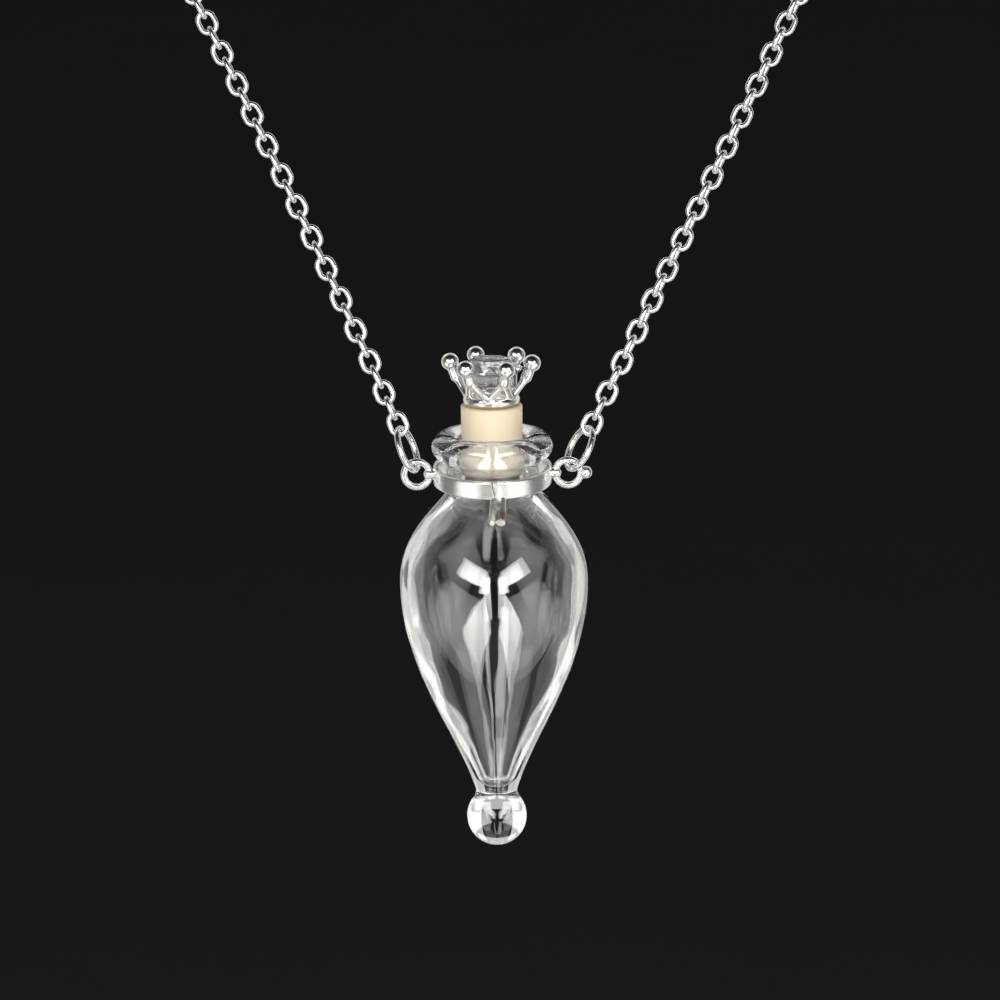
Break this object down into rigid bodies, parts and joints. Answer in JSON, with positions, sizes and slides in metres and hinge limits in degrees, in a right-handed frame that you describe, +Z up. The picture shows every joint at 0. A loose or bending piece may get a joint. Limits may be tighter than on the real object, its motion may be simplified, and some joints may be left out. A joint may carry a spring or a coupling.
{
  "type": "bottle pendant necklace",
  "caption": "Clear glass bottle pendant with a stopper and a crown-set stone, hung by a collar and jump rings on a cable chain loop.",
  "frame": {"origin": "middle of the clasp, where the necklace sits at the nape", "axes": "+Z up, -Y towards the front where the pendant hangs, +X to the right as seen from the front"},
  "size_m": [0.1119, 0.0845, 0.1614],
  "materials": {
    "bottle_glass": "clear blown glass, slightly uneven inside",
    "stopper_wood": "smooth pale turned plug with a faint upright grain",
    "cast_metal": "bright cast setting",
    "cut_stone": "colourless round cut stone",
    "band_metal": "bright polished band with a soldered seam",
    "wire_metal": "bright polished wire",
    "chain_metal": "bright plated chain"
  },
  "bodies": {
    "root": {"jump_ring_left": "wire_metal", "jump_ring_right": "wire_metal", "chain_left": "chain_metal", "chain_right": "chain_metal", "clasp": "wire_metal"},
    "collar": {"collar": "band_metal"},
    "bottle": {"bottle": "bottle_glass"},
    "stopper": {"stopper": "stopper_wood", "crown_setting": "cast_metal", "stone": "cut_stone"}
  },
  "joints": [
    {"name": "pendant_swing", "type": "hinge", "parent": "root", "child": "collar", "pos_m": [0, -0.074, -0.12142], "axis": [1, 0, 0], "range_deg": [-35, 35]},
    {"name": "bottle_turn", "type": "hinge", "parent": "collar", "child": "bottle", "pos_m": [0, -0.074, -0.123], "axis": [0, 0, 1], "continuous": true},
    {"name": "stopper_pull", "type": "slide", "parent": "bottle", "child": "stopper", "axis": [0, 0, 1], "range_m": [0, 0.01]}
  ]
}
